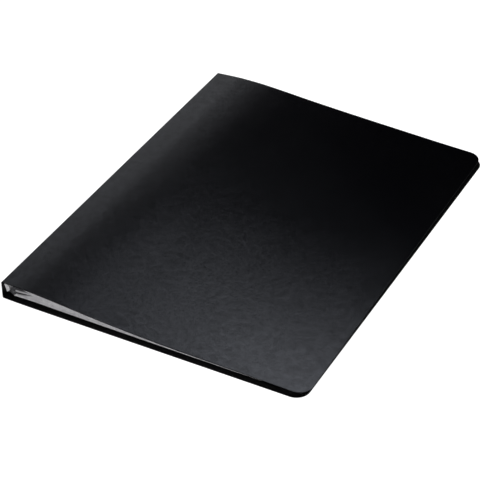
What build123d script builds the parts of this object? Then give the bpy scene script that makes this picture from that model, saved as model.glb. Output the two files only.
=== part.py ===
import os
from math import asin, atan2, cos, degrees, hypot, radians, sin, tan

from build123d import *

# Display book with clear pockets, closed and lying on its back cover. All lengths are in millimetres.
# X runs from the spine to the fore-edge, Y from the foot of the book to its head, Z up from the table.
# The origin is on the table under the middle of the closed book.

# The sheet that a pocket holds
sheet_width = 210
sheet_height = 297
sheet_thickness = 0.1

# The cover: one soft plastic sheet creased twice, so that each crease is a line hinge. At the fore-edge the front cover
# stands past the back cover by the reach.
cover_thickness = 0.7
cover_lip = 4
fore_lip = 4
front_reach = 2
corner_radius = 10
spine_width = 14.1
crease_gap = 0.05

# Bow of the front cover over the pockets: where its crown ends, and how far that point is above the crease
crown_run = 55
crown_rise = 0.95

# The pockets: two films each, welded along the inner side, the fore-edge and the foot, and open at the head
pocket_count = 20
film_thickness = 0.045
weld_width = 2.5
side_room = 4
head_room = 2.5
tab_width = 4
mitre_run = 3
mitre_rise = 1
pocket_gap = 0.01
cover_gap = 0.03

# The binding strip: the pockets' edges melted into one bar, welded to the upper part of the spine's inside
strip_depth = 3.25
strip_edge = 0.6
strip_lip = 2
strip_rise = 2.3
strip_gap = 0.3
root_margin = 0.65
root_lift = 0.05
root_radius = 0.17

# Sizes that follow from those
half_thickness = cover_thickness / 2
pocket_width = weld_width + sheet_width + side_room + weld_width
pocket_height = weld_width + sheet_height + head_room
pocket_thickness = film_thickness + sheet_thickness + film_thickness
pocket_pitch = pocket_thickness + pocket_gap
root_apex = cover_thickness + strip_depth + root_lift
pocket_edge = root_apex + tab_width + pocket_width
back_width = pocket_edge + fore_lip
front_width = back_width + front_reach
book_height = cover_lip + pocket_height + cover_lip
crease_x = half_thickness
back_crease_z = half_thickness
front_crease_z = spine_width - half_thickness
panel_start = crease_x + half_thickness + crease_gap
fore_z = cover_thickness + pocket_count * pocket_pitch + cover_gap + half_thickness

# Section of the binding strip: a flat back on the spine and an arched front
strip_low = cover_thickness + strip_rise
strip_high = spine_width - cover_thickness - strip_gap
strip_middle = (strip_low + strip_high) / 2
arch_rise = strip_depth - strip_edge
half_chord = (strip_high - strip_low) / 2
arch_radius = (half_chord**2 + arch_rise**2) / (2 * arch_rise)
arch_x = cover_thickness + strip_depth - arch_radius

# The pockets' root lines lie on a circle just outside that arch, evenly spaced
root_circle = arch_radius + root_lift
last_edge_z = cover_thickness + pocket_pitch / 2
first_edge_z = last_edge_z + (pocket_count - 1) * pocket_pitch
first_root_angle = asin((half_chord - root_margin) / root_circle)
root_step = -2 * first_root_angle / (pocket_count - 1)


def root_of(index):
    """X and Z of the line that a pocket turns about, counted from 0 at the front of the book."""
    angle = first_root_angle + index * root_step
    return arch_x + root_circle * cos(angle), strip_middle + root_circle * sin(angle)


def edge_of(index):
    """X and Z of the middle of a pocket's fore-edge."""
    return pocket_edge, first_edge_z - index * pocket_pitch


def dip_of(index):
    """Angle in degrees by which a pocket falls from its root to its fore-edge."""
    root_x, root_z = root_of(index)
    edge_x, edge_z = edge_of(index)
    return degrees(atan2(root_z - edge_z, edge_x - root_x))


def along_book(section, length):
    """Solid of this X-Z section, centred along the book."""
    return extrude(section, amount=length / 2, dir=(0, 1, 0), both=True)


def round_fore_corners(panel, width):
    """The panel, this wide from the spine, with its two corners at the fore-edge rounded."""
    reach = spine_width + spine_width
    outline = Rectangle(width, book_height, align=(Align.MIN, Align.CENTER))
    fore_corners = outline.vertices().group_by(Axis.X)[-1]
    outline = fillet(fore_corners, radius=corner_radius)
    return panel & extrude(outline, amount=reach, both=True)


def back_cover():
    """Flat panel under the pockets."""
    panel_width = back_width - panel_start
    corner = (Align.MIN, Align.MIN)
    section = Plane.XZ * Pos(panel_start, 0) * Rectangle(panel_width, cover_thickness, align=corner)
    return round_fore_corners(along_book(section, book_height), back_width)


def spine_panel():
    """Upright panel whose two rounded edges lie on the crease lines."""
    middle = (back_crease_z + front_crease_z) / 2
    section = Plane.XZ * Pos(crease_x, middle) * SlotOverall(spine_width, cover_thickness, rotation=90)
    return along_book(section, book_height)


def front_cover():
    """Panel crowned near the spine, sweeping down until it lies along the first pocket at the fore-edge."""
    crease = (panel_start, front_crease_z)
    shoulder = (crown_run, front_crease_z + crown_rise)
    fore_angle = radians(dip_of(0))
    rising = (-cos(fore_angle), sin(fore_angle))
    fore_edge = (front_width, fore_z - (front_width - pocket_edge) * tan(fore_angle))
    sweep_line = TangentArc(fore_edge, shoulder, tangent=rising)
    crown_line = TangentArc(shoulder, crease, tangent=sweep_line % 1)
    middle_line = Wire([sweep_line, crown_line])
    upper = offset(middle_line, amount=half_thickness, side=Side.RIGHT, closed=False)
    lower = offset(middle_line, amount=half_thickness, side=Side.LEFT, closed=False)
    ends = [Line(upper @ 0, lower @ 1), Line(lower @ 0, upper @ 1)]
    section = Plane.XZ * make_face([*upper.edges(), *lower.edges(), *ends])
    return round_fore_corners(along_book(section, book_height), front_width)


def binding_strip():
    """Arched bar with one fine groove along each pocket's root line."""
    low = (cover_thickness + strip_edge, strip_low)
    apex = (cover_thickness + strip_depth, strip_middle)
    high = (cover_thickness + strip_edge, strip_high)
    arch = ThreePointArc(low, apex, high)
    back = Polyline(high, (cover_thickness, strip_high), (cover_thickness, strip_low), low)
    section = make_face([*arch.edges(), *back.edges()])
    for index in range(pocket_count):
        section -= Pos(*root_of(index)) * Circle(root_radius)
    return along_book(Plane.XZ * section, book_height - 2 * strip_lip)


def film_outline(length):
    """Outline of a film from its root line to the fore-edge, with mitred corners beside the spine."""
    half_height = pocket_height / 2
    root_half = half_height - mitre_rise
    corners = [(0, -root_half), (mitre_run, -half_height), (length, -half_height)]
    mirrored = [(x, -y) for x, y in reversed(corners)]
    return make_face(Polyline(*corners, *mirrored, close=True))


def pocket(index):
    """Front film, and back film with the welds that join the two, in the closed book."""
    root_x, root_z = root_of(index)
    edge_x, edge_z = edge_of(index)
    length = hypot(edge_x - root_x, edge_z - root_z)
    place = Pos(root_x, 0, root_z) * Rot(0, dip_of(index), 0)
    outline = film_outline(length)
    half_room = sheet_thickness / 2
    front_film = Pos(0, 0, half_room) * extrude(outline, amount=film_thickness)
    back_film = Pos(0, 0, -half_room) * extrude(outline, amount=-film_thickness)

    inner_x = length - pocket_width
    mouth_x = inner_x + weld_width
    fore_x = length - weld_width
    foot_y = -pocket_height / 2
    corner = (Align.MIN, Align.MIN)
    inner_weld = Pos(inner_x, foot_y) * Rectangle(weld_width, pocket_height, align=corner)
    fore_weld = Pos(fore_x, foot_y) * Rectangle(weld_width, pocket_height, align=corner)
    foot_weld = Pos(mouth_x, foot_y) * Rectangle(fore_x - mouth_x, weld_width, align=corner)
    seams = [weld & outline for weld in (inner_weld, fore_weld, foot_weld)]
    welds = [extrude(seam, amount=half_room, both=True) for seam in seams]
    return place * front_film, [place * solid for solid in (back_film, *welds)]


def save(shapes, node):
    """Writes one node, moved so that the origin is under the middle of the book."""
    solids = [solid for shape in shapes for solid in shape.solids()]
    placed = [Pos(-front_width / 2, 0, 0) * solid for solid in solids]
    export_step(placed[0] if len(placed) == 1 else Compound(children=placed), f"parts/{node}.step")


os.makedirs("parts", exist_ok=True)
save([back_cover()], "back_cover")
save([spine_panel()], "spine_panel")
save([front_cover()], "front_cover")
save([binding_strip()], "binding_strip")
for index in range(pocket_count):
    front_film, back_film = pocket(index)
    save([front_film], f"pocket_{index + 1:02d}_front_film")
    save(back_film, f"pocket_{index + 1:02d}_back_film")
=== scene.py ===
import math
import random

import bmesh
import bpy
from mathutils import Matrix, Vector


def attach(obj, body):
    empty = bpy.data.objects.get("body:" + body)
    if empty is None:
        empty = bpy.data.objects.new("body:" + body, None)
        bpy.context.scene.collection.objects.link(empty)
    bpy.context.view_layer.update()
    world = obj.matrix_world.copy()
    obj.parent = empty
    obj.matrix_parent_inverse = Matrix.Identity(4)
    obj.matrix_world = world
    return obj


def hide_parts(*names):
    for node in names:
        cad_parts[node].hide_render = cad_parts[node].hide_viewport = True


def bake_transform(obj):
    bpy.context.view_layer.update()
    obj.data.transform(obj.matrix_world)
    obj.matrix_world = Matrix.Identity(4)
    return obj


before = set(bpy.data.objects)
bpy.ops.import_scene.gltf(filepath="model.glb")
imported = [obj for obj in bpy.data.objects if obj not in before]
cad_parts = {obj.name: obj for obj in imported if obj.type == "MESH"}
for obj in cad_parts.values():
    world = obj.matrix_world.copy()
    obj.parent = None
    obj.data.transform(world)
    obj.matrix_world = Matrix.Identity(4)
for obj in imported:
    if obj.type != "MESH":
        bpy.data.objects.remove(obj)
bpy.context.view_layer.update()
bpy.context.scene.view_settings.view_transform = "Standard"
# The twenty pockets are forty clear films, and light has to reach the ones at the bottom of the stack.
bpy.context.scene.cycles.transparent_max_bounces = 64

# Display book with clear pockets, closed and lying on its back cover. Sizes are in millimetres, and MM turns
# them to metres. X runs from the spine's outer face to the fore-edge, and SPINE_FACE moves it to the frame's
# own origin. Y runs from the foot of the book to its head, and Z up from the table.
MM = 0.001
BOOK_WIDTH = 233.0
BACK_WIDTH = 231.0
BOOK_LENGTH = 310.0
SPINE_FACE = -BOOK_WIDTH / 2
SPINE_MIDDLE = 7.05
COVER_SHEET = 0.7
CORNER_RADIUS = 10.0
FOLD_RADIUS = 0.55
CUT_EDGE = 0.1
# The sheets slope, so their cut edges lean out a little. This keeps them inside the book's outline.
EDGE_TRIM = 0.02

# Heights of the front cover's upper face above the table, as (X, Z) along its foot and along its head. The
# soft sheet stays high over the swollen pockets at the head and has settled at the foot.
TALLEST = 16.0
FOOT_HEIGHTS = ((0, 14.3), (18, 14.1), (32, 13.35), (48, 12.1), (64, 10.7), (80, 9.45),
                (96, 8.5), (118, 7.5), (141, 6.9), (170, 6.55), (200, 6.15), (233, 5.4))
HEAD_HEIGHTS = ((0, 14.5), (12, 15.25), (24, 15.75), (39, 15.55), (60, 14.3), (82, 12.6),
                (103, 11.2), (134, 9.4), (165, 7.8), (195, 6.3), (233, 4.85))

# The front cover lies a little askew on the pockets: at the head its fore-edge stands this much further back.
HEAD_RETREAT = 3.5

# The back cover curls up a little towards the lower fold.
CURL_RISE = 0.5
CURL_RUN = 10.0

# Faces of a cover sheet along the book, from its fold to its corners, round a corner, up half of the spine
# and round a fold. Above 1, the crowding draws the columns together towards the fold.
SHEET_ROWS = 60
SHEET_COLUMNS = 64
CORNER_STEPS = 12
SPINE_STEPS = 8
FOLD_STEPS = 10
COLUMN_CROWDING = 1.35

# Place of each finish in a cover sheet's list of materials.
OUTER_FACE = 0
CUT_FACE = 1
INNER_FACE = 2

# The pockets' root lines lie evenly along an arc of the binding strip, the first at the front of the book.
POCKETS = 20
ROOT_ARC_X = -2.187
ROOT_ARC_Z = 8.05
ROOT_ARC_RADIUS = 6.187
ROOT_ARC_HALF_ANGLE = math.radians(45.33)

# A pocket is two films from its root line to the fore-edge, welded beside the tab, at the fore-edge and along
# the foot.
POCKET_EDGE = 227.0
POCKET_HALF_LENGTH = 151.0
FILM = 0.045
WELD = 1.2
INNER_WELD = 0.4
TAB = 4.0
# At the root line each film lies this many thicknesses above or below it.
ROOT_SPREAD = 0.8
# The films' corners are mitred beside the strip, and clipped at the fore-edge so that they stay under the
# rounded corners of the cover.
MITRE_RUN = 3.0
MITRE_RISE = 1.0
CLIP_RUN = 7.0
CLIP_RISE = 5.0

# The stack of pockets fills the room from a floor above the back cover to just under the front cover. The
# floor rises towards the spine, so that the lowest film still clears the back cover when the book opens.
STACK_GAP = 0.03
STACK_LIFT = 0.6
STACK_RISE = 1.4
STACK_RUN = 45.0

# Beside the strip the pockets part round a hollow. The front group keeps close to the front cover, the back
# group drops to the back cover, and the pocket between them crosses the hollow. Levels are the heights there
# of a group's lowest and highest film. By the settled X the front or the back half of the pockets has joined
# the stack.
HOLLOW_X = 7.5
FRONT_GROUP = 10
FRONT_GROUP_LEVELS = (10.6, 13.3)
FRONT_SETTLED_X = 24.0
MIDDLE_LEVELS = (5.8, 6.3)
BACK_GROUP = 9
BACK_GROUP_LEVELS = (1.9, 3.2)
BACK_SETTLED_X = 30.0

# No two pockets are cut or lie quite alike. The level's scatter is a share of one film's room in the stack.
POCKET_SEED = 20
EDGE_SCATTER = (0, 0.3)
FOOT_SCATTER = (0.1, 0.4)
HEAD_SCATTER = (0, 0.5)
LEVEL_SCATTER = (-0.12, 0.12)

# Points of a film's grid, from the root line to the fore-edge and from the foot to the head. Shares of the
# grid that the film takes up to where it has settled, up to the fore-edge weld, and in the foot weld.
FILM_COLUMNS = 64
FILM_ROWS = 36
BEND_SHARE = 0.5
EDGE_SHARE = 0.96
FOOT_SHARE = 0.06
# Points closer than this become one, and edges that turn by more than the angle stay sharp.
FILM_MERGE = 0.001
FILM_SHARP_ANGLE = math.radians(50)

# The binding strip: its arched section with a groove at each root line, and how far its ends are cut back at
# the bottom. The turns, in degrees, place the points round a groove.
STRIP_BACK = 0.7
STRIP_EDGE = 0.6
STRIP_LOW = 3.0
STRIP_HIGH = 13.1
STRIP_HALF_LENGTH = 153.0
STRIP_SLANT = 2.6
GROOVE_RADIUS = 0.17
GROOVE_TURNS = (75, 45, 15, -15, -45, -75)

# Every piece of the book is polypropylene, which bends light by this much.
PLASTIC_IOR = 1.49
# A noise keeps mostly between these two values.
NOISE_LOW = 0.3
NOISE_HIGH = 0.7

# The kinds of node that the trees use most.
MATH = "ShaderNodeMath"
MAP_RANGE = "ShaderNodeMapRange"
NOISE = "ShaderNodeTexNoise"


def on_book(x, y, z):
    """A place given from the spine's face, in the frame's metres."""
    return ((x + SPINE_FACE) * MM, y * MM, z * MM)


def hex_colour(code):
    """Linear RGBA of an sRGB hex colour."""
    shares = [int(code[i:i + 2], 16) / 255 for i in (1, 3, 5)]
    linear = [s / 12.92 if s <= 0.04045 else ((s + 0.055) / 1.055) ** 2.4 for s in shares]
    return (*linear, 1.0)


def add(tree, kind, inputs=None, **settings):
    """Adds a node with its settings.

    Each input is a value, a socket to link from, or a node whose first output is linked.
    """
    node = tree.nodes.new(kind)
    for name, value in settings.items():
        setattr(node, name, value)
    for key, value in (inputs or {}).items():
        if isinstance(value, bpy.types.Node):
            value = value.outputs[0]
        if isinstance(value, bpy.types.NodeSocket):
            tree.links.new(value, node.inputs[key])
        else:
            node.inputs[key].default_value = value
    return node


def new_material(name):
    """An empty node material and its tree."""
    material = bpy.data.materials.new(name)
    material.use_nodes = True
    material.node_tree.nodes.clear()
    return material, material.node_tree


def new_object(name, data):
    """An object with this data, in the scene."""
    piece = bpy.data.objects.new(name, data)
    bpy.context.scene.collection.objects.link(piece)
    return piece


def applied_mesh(piece):
    """Plain mesh of a piece as its modifiers leave it. The modifiers are then taken off."""
    depsgraph = bpy.context.evaluated_depsgraph_get()
    mesh = bpy.data.meshes.new_from_object(piece.evaluated_get(depsgraph))
    piece.modifiers.clear()
    return mesh


# Materials

def grained_polypropylene():
    """Black polypropylene sheet, calendered against a sand-blasted roll.

    It has a fine even matte grain that greys at a low angle.
    """
    material, tree = new_material("black_grained_polypropylene")
    place = add(tree, "ShaderNodeTexCoord").outputs["Object"]
    # The roll's grain is pits 0.15 to 0.6 mm across.
    grain = add(tree, NOISE, {"Vector": place, "Scale": 1 / (0.6 * MM), "Detail": 2.0, "Roughness": 0.6})
    # Pits and lands bunch unevenly, so the eye sees a soft mottle about 4 mm across. This mottle carries
    # painted shade of the pits on the sheet's reflection.
    mottle = add(tree, NOISE, {"Vector": place, "Scale": 1 / (4 * MM), "Detail": 2.0, "Roughness": 0.6})
    # Slow changes of gloss, 60 mm across, where hands and the roll have polished the sheet.
    cloud = add(tree, NOISE, {"Vector": place, "Scale": 1 / (60 * MM), "Detail": 2.0})
    tone = add(tree, "ShaderNodeValToRGB", {"Fac": grain})
    pit, land = tone.color_ramp.elements
    pit.position = 0.3
    pit.color = hex_colour("#010102")
    land.position = 0.72
    land.color = hex_colour("#030304")
    gloss = add(tree, MAP_RANGE, {
        "Value": cloud, "From Min": NOISE_LOW, "From Max": NOISE_HIGH, "To Min": 0.16, "To Max": 0.19})
    # Painted shade: where pits bunch, the sheet's reflection is turned down, as if the pits shadowed it.
    pit_shade_on_reflection = add(tree, MAP_RANGE, {
        "Value": mottle, "From Min": NOISE_LOW, "From Max": NOISE_HIGH, "To Min": 0.37, "To Max": 0.63})
    bump = add(tree, "ShaderNodeBump", {"Height": grain, "Strength": 1.0, "Distance": 0.085 * MM})
    skin = add(tree, "ShaderNodeBsdfPrincipled", {
        "Base Color": tone, "Roughness": gloss, "IOR": PLASTIC_IOR, "Specular IOR Level": pit_shade_on_reflection,
        "Specular Tint": hex_colour("#E7EEFF"), "Normal": bump})
    add(tree, "ShaderNodeOutputMaterial", {"Surface": skin})
    return material


def sheared_polypropylene():
    """Cut edge of the black sheet, torn dull by the shear: deep black with fine drag marks."""
    material, tree = new_material("black_sheared_polypropylene")
    place = add(tree, "ShaderNodeTexCoord").outputs["Object"]
    # The blade drags a mark about every 0.3 mm along the edge.
    drag = add(tree, NOISE, {"Vector": place, "Scale": 1 / (0.3 * MM), "Detail": 2.0})
    tone = add(tree, "ShaderNodeValToRGB", {"Fac": drag})
    deep, raised = tone.color_ramp.elements
    deep.color = hex_colour("#010102")
    raised.color = hex_colour("#060607")
    bump = add(tree, "ShaderNodeBump", {"Height": drag, "Strength": 0.6, "Distance": 0.06 * MM})
    edge = add(tree, "ShaderNodeBsdfPrincipled", {
        "Base Color": tone, "Roughness": 0.7, "IOR": PLASTIC_IOR, "Specular IOR Level": 0.03,
        "Normal": bump})
    add(tree, "ShaderNodeOutputMaterial", {"Surface": edge})
    return material


def dull_polypropylene():
    """Inner side of the black sheet, left dull by a brushed roll.

    It has almost no gloss, and faint brush lines along the book.
    """
    material, tree = new_material("black_dull_polypropylene")
    place = add(tree, "ShaderNodeTexCoord").outputs["Object"]
    # Brush lines are 0.4 mm apart and twenty times as long.
    lengthwise = add(tree, "ShaderNodeMapping", {"Vector": place, "Scale": (1.0, 0.05, 1.0)})
    brush = add(tree, NOISE, {"Vector": lengthwise, "Scale": 1 / (0.4 * MM), "Detail": 2.0})
    tone = add(tree, "ShaderNodeValToRGB", {"Fac": brush})
    deep, raised = tone.color_ramp.elements
    deep.color = hex_colour("#010102")
    raised.color = hex_colour("#060607")
    bump = add(tree, "ShaderNodeBump", {"Height": brush, "Strength": 0.4, "Distance": 0.03 * MM})
    inside = add(tree, "ShaderNodeBsdfPrincipled", {
        "Base Color": tone, "Roughness": 0.5, "IOR": PLASTIC_IOR, "Specular IOR Level": 0.12,
        "Normal": bump})
    add(tree, "ShaderNodeOutputMaterial", {"Surface": inside})
    return material


def clear_film():
    """Cast polypropylene film: clear but hazy, with a faint orange peel that breaks up its gloss."""
    material, tree = new_material("clear_cast_polypropylene_film")
    place = add(tree, "ShaderNodeTexCoord").outputs["Object"]
    # The chill roll's orange peel is about 1.2 mm.
    peel = add(tree, NOISE, {"Vector": place, "Scale": 1 / (1.2 * MM), "Detail": 2.0})
    # Slack film lies in shallow folds, 45 mm apart.
    folds = add(tree, NOISE, {"Vector": place, "Scale": 1 / (45 * MM), "Detail": 1.0})
    relief = add(tree, MATH, {0: peel, 1: 0.06, 2: folds}, operation="MULTIPLY_ADD")
    haze = add(tree, MAP_RANGE, {
        "Value": peel, "From Min": NOISE_LOW, "From Max": NOISE_HIGH, "To Min": 0.22, "To Max": 0.34})
    bump = add(tree, "ShaderNodeBump", {"Height": relief, "Strength": 0.35, "Distance": 0.8 * MM})
    film = add(tree, "ShaderNodeBsdfPrincipled", {
        "Base Color": hex_colour("#8C8C90"), "Roughness": haze, "IOR": PLASTIC_IOR, "Normal": bump,
        "Alpha": 0.07})
    add(tree, "ShaderNodeOutputMaterial", {"Surface": film})
    return material


def welded_film():
    """Film melted together by a heated bar: milky, with the cross ribs of the bar's jaw."""
    material, tree = new_material("milky_welded_polypropylene")
    place = add(tree, "ShaderNodeTexCoord").outputs["Object"]
    # The jaw's ribs are about 4 mm apart along the weld: a diagonal wave repeats after 0.63 of its size.
    ribs = add(tree, "ShaderNodeTexWave", {
        "Vector": place, "Scale": 1 / (6.28 * MM), "Distortion": 0.4}, bands_direction="DIAGONAL")
    # The melt is cloudier in patches about 3 mm across.
    melt = add(tree, NOISE, {"Vector": place, "Scale": 1 / (3 * MM), "Detail": 3.0})
    tone = add(tree, "ShaderNodeValToRGB", {"Fac": melt})
    thin, cloudy = tone.color_ramp.elements
    thin.position = NOISE_LOW
    thin.color = hex_colour("#DEDDE0")
    cloudy.position = NOISE_HIGH
    cloudy.color = hex_colour("#F6F5F7")
    bump = add(tree, "ShaderNodeBump", {"Height": ribs, "Strength": 0.2, "Distance": 0.04 * MM})
    weld = add(tree, "ShaderNodeBsdfPrincipled", {
        "Base Color": tone, "Roughness": 0.38, "IOR": PLASTIC_IOR, "Normal": bump, "Alpha": 0.9})
    add(tree, "ShaderNodeOutputMaterial", {"Surface": weld})
    return material


def melted_bar():
    """Film edges melted into one bar: milky white, still showing its layers as fine lines along the book."""
    material, tree = new_material("milky_laminated_polypropylene")
    place = add(tree, "ShaderNodeTexCoord").outputs["Object"]
    # One layer is a pocket's edge, about 0.6 mm of the bar's height.
    upright = add(tree, "ShaderNodeMapping", {"Vector": place, "Scale": (0.15, 0.01, 1.0)})
    layers = add(tree, NOISE, {"Vector": upright, "Scale": 1 / (0.6 * MM), "Detail": 2.0})
    tone = add(tree, "ShaderNodeValToRGB", {"Fac": layers})
    gap, layer = tone.color_ramp.elements
    gap.position = 0.35
    gap.color = hex_colour("#BDBCBF")
    layer.position = 0.65
    layer.color = hex_colour("#ECEBED")
    bump = add(tree, "ShaderNodeBump", {"Height": layers, "Strength": 0.3, "Distance": 0.1 * MM})
    bar = add(tree, "ShaderNodeBsdfPrincipled", {
        "Base Color": tone, "Roughness": 0.42, "IOR": PLASTIC_IOR, "Normal": bump})
    add(tree, "ShaderNodeOutputMaterial", {"Surface": bar})
    return material


BLACK_SHEET = grained_polypropylene()
BLACK_EDGE = sheared_polypropylene()
BLACK_INSIDE = dull_polypropylene()
CLEAR_FILM = clear_film()
WELDED_FILM = welded_film()
MELTED_BAR = melted_bar()


# The shape of the covers, shared by the cover sheets and the pockets between them

def draw_heights(curve_node, heights):
    """Puts these (X, Z) pairs into a curve, as shares of the book's width and of TALLEST."""
    curve = curve_node.mapping.curves[0]
    shares = [(x / BOOK_WIDTH, z / TALLEST) for x, z in heights]
    curve.points[0].location = shares[0]
    curve.points[1].location = shares[-1]
    for share in shares[1:-1]:
        curve.points.new(*share)
    for point in curve.points:
        point.handle_type = "AUTO_CLAMPED"
    curve_node.mapping.update()


def cover_height_group():
    """Node group for the front cover's height, in metres, over a place X from the spine's face and Y."""
    group = bpy.data.node_groups.new("front_cover_height", "GeometryNodeTree")
    for name in ("X", "Y"):
        group.interface.new_socket(name, in_out="INPUT", socket_type="NodeSocketFloat")
    group.interface.new_socket("Height", in_out="OUTPUT", socket_type="NodeSocketFloat")
    given = add(group, "NodeGroupInput").outputs
    across = add(group, MATH, {0: given["X"], 1: BOOK_WIDTH * MM}, operation="DIVIDE")
    up_page = add(group, MAP_RANGE, {
        "Value": given["Y"], "From Min": -BOOK_LENGTH / 2 * MM, "From Max": BOOK_LENGTH / 2 * MM})
    foot = add(group, "ShaderNodeFloatCurve", {"Value": across})
    head = add(group, "ShaderNodeFloatCurve", {"Value": across})
    draw_heights(foot, FOOT_HEIGHTS)
    draw_heights(head, HEAD_HEIGHTS)
    share = add(group, "ShaderNodeMix", {0: up_page, 2: foot, 3: head}, data_type="FLOAT")
    height = add(group, MATH, {0: share, 1: TALLEST * MM}, operation="MULTIPLY")
    add(group, "NodeGroupOutput", {"Height": height})
    return group, foot.mapping, head.mapping


COVER_HEIGHT, FOOT_CURVE, HEAD_CURVE = cover_height_group()


def front_height(x, y):
    """Height of the front cover's upper face, in millimetres, as the node group gives it."""
    share = (y + BOOK_LENGTH / 2) / BOOK_LENGTH
    foot = FOOT_CURVE.evaluate(FOOT_CURVE.curves[0], x / BOOK_WIDTH)
    head = HEAD_CURVE.evaluate(HEAD_CURVE.curves[0], x / BOOK_WIDTH)
    return TALLEST * (foot + share * (head - foot))


def back_curl(x):
    """How far the back cover has curled up from the table."""
    return CURL_RISE * math.exp(-x / CURL_RUN)


# The cover sheets

def cover_columns(width):
    """X of each column beyond the fold of a cover sheet this wide, with the sheet's half length there."""
    straight = width - EDGE_TRIM - CORNER_RADIUS
    half_length = BOOK_LENGTH / 2 - EDGE_TRIM
    start = COVER_SHEET / 2 + FOLD_RADIUS
    columns = []
    for i in range(SHEET_COLUMNS + 1):
        share = (i / SHEET_COLUMNS) ** COLUMN_CROWDING
        columns.append((start + (straight - start) * share, half_length))
    for i in range(1, CORNER_STEPS + 1):
        turn = math.radians(90 * i / CORNER_STEPS)
        inset = CORNER_RADIUS * (1 - math.cos(turn))
        columns.append((straight + CORNER_RADIUS * math.sin(turn), half_length - inset))
    return columns


def sheet_section(y_share, is_front):
    """Points of a cover sheet's middle line, from the spine's middle to the fore-edge.

    They lie at this share of the sheet's half length, from -1 at the foot to 1 at the head.
    """
    half = COVER_SHEET / 2
    points = []
    fold_y = y_share * (BOOK_LENGTH / 2 - EDGE_TRIM)
    fold_x = half + FOLD_RADIUS
    if is_front:
        side = 1
        crease = front_height(fold_x, fold_y) - half
        width = BOOK_WIDTH - HEAD_RETREAT * (1 + y_share) / 2
    else:
        side = -1
        crease = half + back_curl(fold_x)
        width = BACK_WIDTH
    fold_z = crease - side * FOLD_RADIUS
    for i in range(SPINE_STEPS):
        points.append((half, fold_y, SPINE_MIDDLE + (fold_z - SPINE_MIDDLE) * i / SPINE_STEPS))
    for i in range(FOLD_STEPS):
        turn = math.radians(90 * i / FOLD_STEPS)
        x = fold_x - FOLD_RADIUS * math.cos(turn)
        points.append((x, fold_y, fold_z + side * FOLD_RADIUS * math.sin(turn)))
    for x, half_length in cover_columns(width):
        y = y_share * half_length
        z = front_height(x, y) - half if is_front else half + back_curl(x)
        points.append((x, y, z))
    return points


def cover_sheet(name, is_front):
    """One half of the creased cover as a closed sheet of even thickness, with its three cut edges eased."""
    rows = SHEET_ROWS
    sections = [sheet_section(2 * j / rows - 1, is_front) for j in range(rows + 1)]
    columns = len(sections[0])
    shape = bmesh.new()
    faces = {}
    for face_side in (1, -1):
        grid = []
        for j in range(rows + 1):
            line = []
            for i in range(columns):
                here = Vector(sections[j][i])
                along = Vector(sections[j][min(i + 1, columns - 1)]) - Vector(sections[j][max(i - 1, 0)])
                up = Vector(sections[min(j + 1, rows)][i]) - Vector(sections[max(j - 1, 0)][i])
                out = along.cross(up).normalized() * (COVER_SHEET / 2 * face_side)
                line.append(shape.verts.new(on_book(*(here + out))))
            grid.append(line)
        faces[face_side] = grid
    for face_side, grid in faces.items():
        for j in range(rows):
            for i in range(columns - 1):
                corners = [grid[j][i], grid[j][i + 1], grid[j + 1][i + 1], grid[j + 1][i]]
                face = shape.faces.new(corners if face_side > 0 else corners[::-1])
                face.material_index = OUTER_FACE if (face_side > 0) == is_front else INNER_FACE

    # The cut edge runs round the sheet. The two halves of the cover meet at the spine's middle, and there the
    # edge is left sharp, not eased, so that no seam shows.
    upper = faces[1]
    lower = faces[-1]
    ring = [(j, 0) for j in range(rows, 0, -1)] + [(0, i) for i in range(columns - 1)]
    ring += [(j, columns - 1) for j in range(rows)] + [(rows, i) for i in range(columns - 1, 0, -1)]
    weight = shape.edges.layers.float.new("bevel_weight_edge")
    for (j, i), (m, k) in zip(ring, ring[1:] + ring[:1]):
        edge = shape.faces.new((upper[j][i], lower[j][i], lower[m][k], upper[m][k]))
        edge.material_index = CUT_FACE
        for grid in (upper, lower):
            corner = shape.edges.get((grid[j][i], grid[m][k]))
            if i or k:
                corner[weight] = 1.0
            else:
                corner.smooth = False
    bmesh.ops.recalc_face_normals(shape, faces=shape.faces)
    mesh = bpy.data.meshes.new(name)
    shape.to_mesh(mesh)
    shape.free()
    mesh.shade_smooth()
    piece = new_object(name, mesh)
    ease = piece.modifiers.new("eased_cut_edge", "BEVEL")
    ease.limit_method = "WEIGHT"
    ease.width = CUT_EDGE * MM
    ease.segments = 2
    ease.material = CUT_FACE
    ease.harden_normals = True
    piece.data = applied_mesh(piece)
    piece.data.name = name
    for material in (BLACK_SHEET, BLACK_EDGE, BLACK_INSIDE):
        piece.data.materials.append(material)
    return piece


front_sheet = cover_sheet("front_cover_sheet", True)
back_sheet = cover_sheet("back_cover_sheet", False)
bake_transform(back_sheet)
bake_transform(front_sheet)
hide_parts("back_cover", "spine_panel")
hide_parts("front_cover")


# The pockets

# What both films of a pocket share. Each has its own height in the hollow and level in the stack.
POCKET_SIZES = ("Root X", "Root Z", "Settled X", "Fore Edge X", "Foot Y", "Head Y", "Film Thickness",
                "Weld Width", "Inner Weld", "Tab Width", "Mitre Run", "Mitre Rise", "Clip Run", "Clip Rise")
POCKET_FINISHES = ("Film", "Weld")


def name_inputs(tree, sizes):
    """Gives a tree one input for each of these sizes and for each finish of a pocket."""
    for name in sizes:
        tree.interface.new_socket(name, in_out="INPUT", socket_type="NodeSocketFloat")
    for name in POCKET_FINISHES:
        tree.interface.new_socket(name, in_out="INPUT", socket_type="NodeSocketMaterial")


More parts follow.
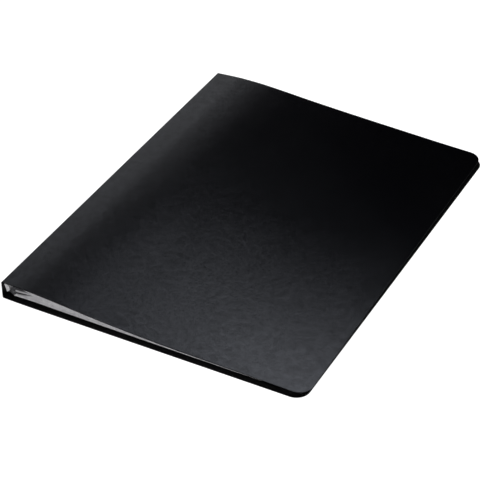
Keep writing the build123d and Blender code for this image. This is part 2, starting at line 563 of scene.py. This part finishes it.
def film_group():
    """Node group for one film, which leaves its root line, rounds the hollow and settles in the stack."""
    group = bpy.data.node_groups.new("pocket_film", "GeometryNodeTree")
    name_inputs(group, (*POCKET_SIZES, "Hollow Z", "Level"))
    group.interface.new_socket("Mesh", in_out="OUTPUT", socket_type="NodeSocketGeometry")
    given = add(group, "NodeGroupInput").outputs
    root_x = given["Root X"]
    weld = given["Weld Width"]

    # Distances over the flat film: "away" from its root line and "up" from its foot. The grid is one unit
    # wide and long about its own middle, so adding a half makes u and v run from 0 to 1.
    grid = add(group, "GeometryNodeMeshGrid", {
        "Size X": 1.0, "Size Y": 1.0, "Vertices X": FILM_COLUMNS, "Vertices Y": FILM_ROWS})
    spot = add(group, "ShaderNodeSeparateXYZ", {0: add(group, "GeometryNodeInputPosition")}).outputs
    u = add(group, MATH, {0: spot["X"], 1: 0.5}, operation="ADD")
    v = add(group, MATH, {0: spot["Y"], 1: 0.5}, operation="ADD")
    reach = add(group, MATH, {0: given["Fore Edge X"], 1: root_x}, operation="SUBTRACT")
    plain = add(group, MATH, {0: reach, 1: weld}, operation="SUBTRACT")
    bent = add(group, MATH, {0: given["Settled X"], 1: root_x}, operation="SUBTRACT")
    middle = add(group, MATH, {0: plain, 1: bent}, operation="SUBTRACT")
    first = add(group, MAP_RANGE, {"Value": u, "From Max": BEND_SHARE, "To Max": bent})
    second = add(group, MAP_RANGE, {
        "Value": u, "From Min": BEND_SHARE, "From Max": EDGE_SHARE, "To Max": middle})
    third = add(group, MAP_RANGE, {"Value": u, "From Min": EDGE_SHARE, "To Max": weld})
    away = add(group, MATH, {0: first, 1: second}, operation="ADD")
    away = add(group, MATH, {0: away, 1: third}, operation="ADD")
    length = add(group, MATH, {0: given["Head Y"], 1: given["Foot Y"]}, operation="SUBTRACT")
    open_length = add(group, MATH, {0: length, 1: weld}, operation="SUBTRACT")
    low = add(group, MAP_RANGE, {"Value": v, "From Max": FOOT_SHARE, "To Max": weld})
    high = add(group, MAP_RANGE, {"Value": v, "From Min": FOOT_SHARE, "To Max": open_length})
    up = add(group, MATH, {0: low, 1: high}, operation="ADD")
    kept = add(group, "GeometryNodeCaptureAttribute", {"Geometry": grid})
    for name, distance in (("away", away), ("up", up)):
        kept.capture_items.new("FLOAT", name)
        group.links.new(distance.outputs[0], kept.inputs[name])
    away = kept.outputs["away"]
    up = kept.outputs["up"]

    # X and Y of each point, with the corners mitred beside the strip and clipped at the fore-edge.
    x = add(group, MATH, {0: root_x, 1: away}, operation="ADD")
    y_flat = add(group, MATH, {0: given["Foot Y"], 1: up}, operation="ADD")
    mitre = add(group, MAP_RANGE, {
        "Value": away, "From Max": given["Mitre Run"], "To Min": given["Mitre Rise"], "To Max": 0.0})
    to_edge = add(group, MATH, {0: reach, 1: away}, operation="SUBTRACT")
    clip = add(group, MAP_RANGE, {
        "Value": to_edge, "From Max": given["Clip Run"], "To Min": given["Clip Rise"], "To Max": 0.0})
    half = add(group, MATH, {0: length, 1: 0.5}, operation="MULTIPLY")
    cut = add(group, MATH, {0: mitre, 1: clip}, operation="ADD")
    cut = add(group, MATH, {0: cut, 1: half}, operation="DIVIDE")
    narrow = add(group, MATH, {0: 1.0, 1: cut}, operation="SUBTRACT")
    y = add(group, MATH, {0: y_flat, 1: narrow}, operation="MULTIPLY")

    # Z of each point: from the root line to the height in the hollow, then to the level between the covers.
    cover = add(group, "GeometryNodeGroup", {"X": x, "Y": y}, node_tree=COVER_HEIGHT)
    ceiling = add(group, MATH, {0: cover, 1: (COVER_SHEET + STACK_GAP) * MM}, operation="SUBTRACT")
    fade = add(group, MATH, {0: x, 1: -STACK_RUN * MM}, operation="DIVIDE")
    fade = add(group, MATH, {0: fade}, operation="EXPONENT")
    floor = add(group, MATH, {
        0: fade, 1: STACK_RISE * MM, 2: (COVER_SHEET + STACK_LIFT) * MM}, operation="MULTIPLY_ADD")
    stacked = add(group, "ShaderNodeMix", {0: given["Level"], 2: floor, 3: ceiling}, data_type="FLOAT")
    leaving = add(group, MAP_RANGE, {
        "Value": x, "From Min": root_x, "From Max": HOLLOW_X * MM}, interpolation_type="SMOOTHSTEP")
    settling = add(group, MAP_RANGE, {
        "Value": x, "From Min": HOLLOW_X * MM, "From Max": given["Settled X"]},
        interpolation_type="SMOOTHSTEP")
    z = add(group, "ShaderNodeMix", {
        0: leaving, 2: given["Root Z"], 3: given["Hollow Z"]}, data_type="FLOAT")
    z = add(group, "ShaderNodeMix", {0: settling, 2: z, 3: stacked}, data_type="FLOAT")
    x_frame = add(group, MATH, {0: x, 1: SPINE_FACE * MM}, operation="ADD")
    place = add(group, "ShaderNodeCombineXYZ", {0: x_frame, 1: y, 2: z})
    laid = add(group, "GeometryNodeSetPosition", {
        "Geometry": kept.outputs["Geometry"], "Position": place})

    # The three welds take the welded finish. They start past the tab, which stays clear.
    past_tab = add(group, MATH, {0: away, 1: given["Tab Width"]}, operation="GREATER_THAN")
    weld_end = add(group, MATH, {0: given["Tab Width"], 1: given["Inner Weld"]}, operation="ADD")
    before_end = add(group, MATH, {0: away, 1: weld_end}, operation="LESS_THAN")
    at_tab = add(group, MATH, {0: past_tab, 1: before_end}, operation="MULTIPLY")
    at_foot = add(group, MATH, {0: up, 1: weld}, operation="LESS_THAN")
    at_foot = add(group, MATH, {0: at_foot, 1: past_tab}, operation="MULTIPLY")
    at_edge = add(group, MATH, {0: away, 1: plain}, operation="GREATER_THAN")
    welded = add(group, MATH, {0: at_foot, 1: at_edge}, operation="MAXIMUM")
    welded = add(group, MATH, {0: welded, 1: at_tab}, operation="MAXIMUM")
    filmed = add(group, "GeometryNodeSetMaterial", {"Geometry": laid, "Material": given["Film"]})
    filmed = add(group, "GeometryNodeSetMaterial", {
        "Geometry": filmed, "Selection": welded, "Material": given["Weld"]})

    # The film gets its thickness, and its cut edges past the tab look welded too.
    raised = add(group, "GeometryNodeExtrudeMesh", {
        "Mesh": filmed, "Offset Scale": given["Film Thickness"], "Individual": False}, mode="FACES")
    side = add(group, MATH, {0: raised.outputs["Side"], 1: past_tab}, operation="MULTIPLY")
    edged = add(group, "GeometryNodeSetMaterial", {
        "Geometry": raised, "Selection": side, "Material": given["Weld"]})
    under = add(group, "GeometryNodeFlipFaces", {"Mesh": filmed})
    both = add(group, "GeometryNodeJoinGeometry", {"Geometry": edged})
    group.links.new(under.outputs[0], both.inputs["Geometry"])
    closed = add(group, "GeometryNodeMergeByDistance", {"Geometry": both, "Distance": FILM_MERGE * MM})
    add(group, "NodeGroupOutput", {"Mesh": closed})
    return group


FILM_GROUP = film_group()


def pocket_tree():
    """Tree for one pocket: its back film and its front film on one root line."""
    tree = bpy.data.node_groups.new("clear_pocket", "GeometryNodeTree")
    tree.is_modifier = True
    tree.interface.new_socket("Geometry", in_out="OUTPUT", socket_type="NodeSocketGeometry")
    name_inputs(tree, (*POCKET_SIZES, "Back Hollow Z", "Front Hollow Z", "Back Level", "Front Level"))
    given = add(tree, "NodeGroupInput").outputs
    films = add(tree, "GeometryNodeJoinGeometry")
    for side, lift in (("Back", -ROOT_SPREAD), ("Front", ROOT_SPREAD)):
        apart = add(tree, MATH, {0: given["Film Thickness"], 1: lift}, operation="MULTIPLY")
        sources = {name: given[name] for name in (*POCKET_SIZES, *POCKET_FINISHES)}
        sources["Root Z"] = add(tree, MATH, {0: given["Root Z"], 1: apart}, operation="ADD")
        sources["Hollow Z"] = given[side + " Hollow Z"]
        sources["Level"] = given[side + " Level"]
        film = add(tree, "GeometryNodeGroup", sources, node_tree=FILM_GROUP)
        tree.links.new(film.outputs["Mesh"], films.inputs["Geometry"])
    solid = add(tree, "GeometryNodeRealizeInstances", {"Geometry": films})
    add(tree, "NodeGroupOutput", {"Geometry": solid})
    return tree


def root_line(index):
    """X and Z of the line that a pocket turns about, counted from 0 at the front of the book."""
    angle = ROOT_ARC_HALF_ANGLE * (1 - 2 * index / (POCKETS - 1))
    x = ROOT_ARC_X + ROOT_ARC_RADIUS * math.cos(angle)
    z = ROOT_ARC_Z + ROOT_ARC_RADIUS * math.sin(angle)
    return x, z


def hollow_level(film):
    """Height of a film beside the strip, counted from 0 at the back of the book."""
    middle_start = 2 * BACK_GROUP
    front_start = 2 * (POCKETS - FRONT_GROUP)
    if film < middle_start:
        low, high = BACK_GROUP_LEVELS
        share = film / (middle_start - 1)
    elif film < front_start:
        low, high = MIDDLE_LEVELS
        share = (film - middle_start) / (front_start - middle_start - 1)
    else:
        low, high = FRONT_GROUP_LEVELS
        share = (film - front_start) / (2 * FRONT_GROUP - 1)
    return low + (high - low) * share


POCKET_TREE = pocket_tree()
slack = random.Random(POCKET_SEED)
for index in range(POCKETS):
    name = f"pocket_{index + 1:02d}"
    root_x, root_z = root_line(index)
    film = 2 * (POCKETS - 1 - index)
    sizes = {
        "Root X": root_x,
        "Root Z": root_z,
        "Back Hollow Z": hollow_level(film),
        "Front Hollow Z": hollow_level(film + 1),
        "Settled X": FRONT_SETTLED_X if index < FRONT_GROUP else BACK_SETTLED_X,
        "Fore Edge X": POCKET_EDGE - slack.uniform(*EDGE_SCATTER),
        "Foot Y": -POCKET_HALF_LENGTH + slack.uniform(*FOOT_SCATTER),
        "Head Y": POCKET_HALF_LENGTH - slack.uniform(*HEAD_SCATTER),
        "Film Thickness": FILM,
        "Weld Width": WELD,
        "Inner Weld": INNER_WELD,
        "Tab Width": TAB,
        "Mitre Run": MITRE_RUN,
        "Mitre Rise": MITRE_RISE,
        "Clip Run": CLIP_RUN,
        "Clip Rise": CLIP_RISE,
    }
    values = {key: size * MM for key, size in sizes.items()}
    # Each film lies near the middle of its own room in the stack, and a level is a share of the stack.
    values["Back Level"] = (film + 0.5 + slack.uniform(*LEVEL_SCATTER)) / (2 * POCKETS)
    values["Front Level"] = (film + 1.5 + slack.uniform(*LEVEL_SCATTER)) / (2 * POCKETS)
    values["Film"] = CLEAR_FILM
    values["Weld"] = WELDED_FILM
    maker = new_object(name + "_maker", bpy.data.meshes.new(name + "_maker"))
    films = maker.modifiers.new("films", "NODES")
    films.node_group = POCKET_TREE
    for item in POCKET_TREE.interface.items_tree:
        if item.in_out == "INPUT":
            films[item.identifier] = values[item.name]
    mesh = applied_mesh(maker)
    bpy.data.objects.remove(maker)
    mesh.name = name
    mesh.shade_smooth()
    mesh.set_sharp_from_angle(angle=FILM_SHARP_ANGLE)
    pocket = new_object(name, mesh)
    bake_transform(pocket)
    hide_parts(name + "_front_film", name + "_back_film")


# The binding strip

def strip_section():
    """Points round the strip's section: its flat back, then the arch with a groove at each root line."""
    points = [(STRIP_BACK, STRIP_HIGH), (STRIP_BACK, STRIP_LOW), (STRIP_BACK + STRIP_EDGE, STRIP_LOW)]
    for index in reversed(range(POCKETS)):
        root_x, root_z = root_line(index)
        inward = math.atan2(ROOT_ARC_Z - root_z, ROOT_ARC_X - root_x)
        for turn in GROOVE_TURNS:
            angle = inward + math.radians(turn)
            x = root_x + GROOVE_RADIUS * math.cos(angle)
            z = root_z + GROOVE_RADIUS * math.sin(angle)
            points.append((x, z))
    points.append((STRIP_BACK + STRIP_EDGE, STRIP_HIGH))
    return points


def binding_strip():
    """The bar that joins the pockets, with its two ends cut on a slant."""
    shape = bmesh.new()
    ends = []
    for side in (-1, 1):
        ring = []
        for x, z in strip_section():
            cut_back = STRIP_SLANT * (STRIP_HIGH - z) / (STRIP_HIGH - STRIP_LOW)
            ring.append(shape.verts.new(on_book(x, side * (STRIP_HALF_LENGTH - cut_back), z)))
        shape.faces.new(ring)
        ends.append(ring)
    near, far = ends
    for i in range(len(near)):
        shape.faces.new((near[i - 1], near[i], far[i], far[i - 1]))
    bmesh.ops.recalc_face_normals(shape, faces=shape.faces)
    mesh = bpy.data.meshes.new("melted_binding_strip")
    shape.to_mesh(mesh)
    shape.free()
    mesh.materials.append(MELTED_BAR)
    return new_object("melted_binding_strip", mesh)


strip = binding_strip()
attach(strip, "spine")
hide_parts("binding_strip")


# Floor, lights and camera

# The floor's sizes are in metres. It lies just under the back cover, so that the two don't share a plane.
FLOOR_REACH = 15.0
FLOOR_DROP = 0.0002
WORLD_STRENGTH = 0.004


def floor_material():
    """White studio floor: white to the eye with a faint contact shadow, and matte to everything else."""
    material, tree = new_material("white_studio_floor")
    paths = add(tree, "ShaderNodeLightPath").outputs
    seen = add(tree, MATH, {0: paths["Is Camera Ray"], 1: paths["Is Glossy Ray"]}, operation="MAXIMUM")
    seen = add(tree, MATH, {0: seen, 1: paths["Is Transmission Ray"]}, operation="MAXIMUM")
    matte = add(tree, "ShaderNodeBsdfDiffuse", {"Color": hex_colour("#E7E7E7")})
    shaded = add(tree, "ShaderNodeBsdfDiffuse", {"Color": hex_colour("#898989")})
    glow = add(tree, "ShaderNodeEmission", {"Color": hex_colour("#FFFFFF"), "Strength": 0.93})
    white = add(tree, "ShaderNodeAddShader", {0: shaded, 1: glow})
    floor_look = add(tree, "ShaderNodeMixShader", {0: seen, 1: matte, 2: white})
    add(tree, "ShaderNodeOutputMaterial", {"Surface": floor_look})
    return material


floor_corners = [(-FLOOR_REACH, -FLOOR_REACH, 0), (FLOOR_REACH, -FLOOR_REACH, 0),
                 (FLOOR_REACH, FLOOR_REACH, 0), (-FLOOR_REACH, FLOOR_REACH, 0)]
floor_mesh = bpy.data.meshes.new("floor")
floor_mesh.from_pydata(floor_corners, [], [(0, 1, 2, 3)])
floor_mesh.materials.append(floor_material())
floor = new_object("floor", floor_mesh)
floor.location.z = -FLOOR_DROP

world = bpy.data.worlds.new("dim_studio")
world.use_nodes = True
background = world.node_tree.nodes["Background"].inputs
background["Color"].default_value = hex_colour("#FFFFFF")
background["Strength"].default_value = WORLD_STRENGTH
bpy.context.scene.world = world


def softbox(name, centre, size, radiance, facing=(0, 0, -1)):
    """Rectangular softbox, placed and sized in metres."""
    lamp = bpy.data.lights.new(name, "AREA")
    lamp.shape = "RECTANGLE"
    lamp.size, lamp.size_y = size
    lamp.energy = radiance * math.pi * size[0] * size[1]
    box = new_object(name, lamp)
    box.location = centre
    box.rotation_euler = Vector(facing).to_track_quat("-Z", "Y").to_euler()
    box.visible_camera = False


# Two panels hang level, one over the book and past its fore-edge, one beyond its spine towards the head. The
# sheet mirrors their edges softly. A large softbox stands in front and lights the ends of the films.
softbox("foot_panel", centre=(0.19, 0.0, 0.45), size=(0.81, 0.70), radiance=2.25)
softbox("spine_panel_light", centre=(-0.755, 0.5, 0.45), size=(0.69, 1.4), radiance=0.66)
softbox("front_softbox", centre=(0.2, -2.4, 1.1), size=(1.6, 1.4), radiance=5.3, facing=(-0.05, 0.9, -0.42))

# The camera stands where the photograph's was, worked out from the book's corners. It was aimed beside the
# back cover's middle, which shows this many pixels right of the picture's middle and below it. The lens and
# the sensor are in millimetres, and the view's near and far ends in metres.
CAMERA_AZIMUTH = math.radians(27.58)
CAMERA_ELEVATION = math.radians(35.98)
CAMERA_DISTANCE = 1313.6
CAMERA_LENS = 135.8
SENSOR = 36.0
IMAGE_PIXELS = 480
AIM_RIGHT = 15.45
AIM_DOWN = -13.5
VIEW_NEAR = 0.05
VIEW_FAR = 60.0

aim_point = Vector((SPINE_FACE + BACK_WIDTH / 2, 0, 0))
level_share = math.cos(CAMERA_ELEVATION)
away_from_book = Vector((math.sin(CAMERA_AZIMUTH) * level_share, -math.cos(CAMERA_AZIMUTH) * level_share,
                         math.sin(CAMERA_ELEVATION)))
right = Vector((math.cos(CAMERA_AZIMUTH), math.sin(CAMERA_AZIMUTH), 0))
upward = away_from_book.cross(right)
lens_pixels = CAMERA_LENS / SENSOR * IMAGE_PIXELS
ahead = (-away_from_book * lens_pixels - right * AIM_RIGHT + upward * AIM_DOWN).normalized()
right = (right - ahead * right.dot(ahead)).normalized()
upward = right.cross(ahead)
lens = bpy.data.cameras.new("camera")
lens.sensor_width = SENSOR
lens.lens = CAMERA_LENS
lens.clip_start = VIEW_NEAR
lens.clip_end = VIEW_FAR
camera = new_object("camera", lens)
turned = Matrix((right, upward, -ahead)).transposed().to_4x4()
camera.matrix_world = Matrix.Translation((aim_point + away_from_book * CAMERA_DISTANCE) * MM) @ turned
bpy.context.scene.camera = camera
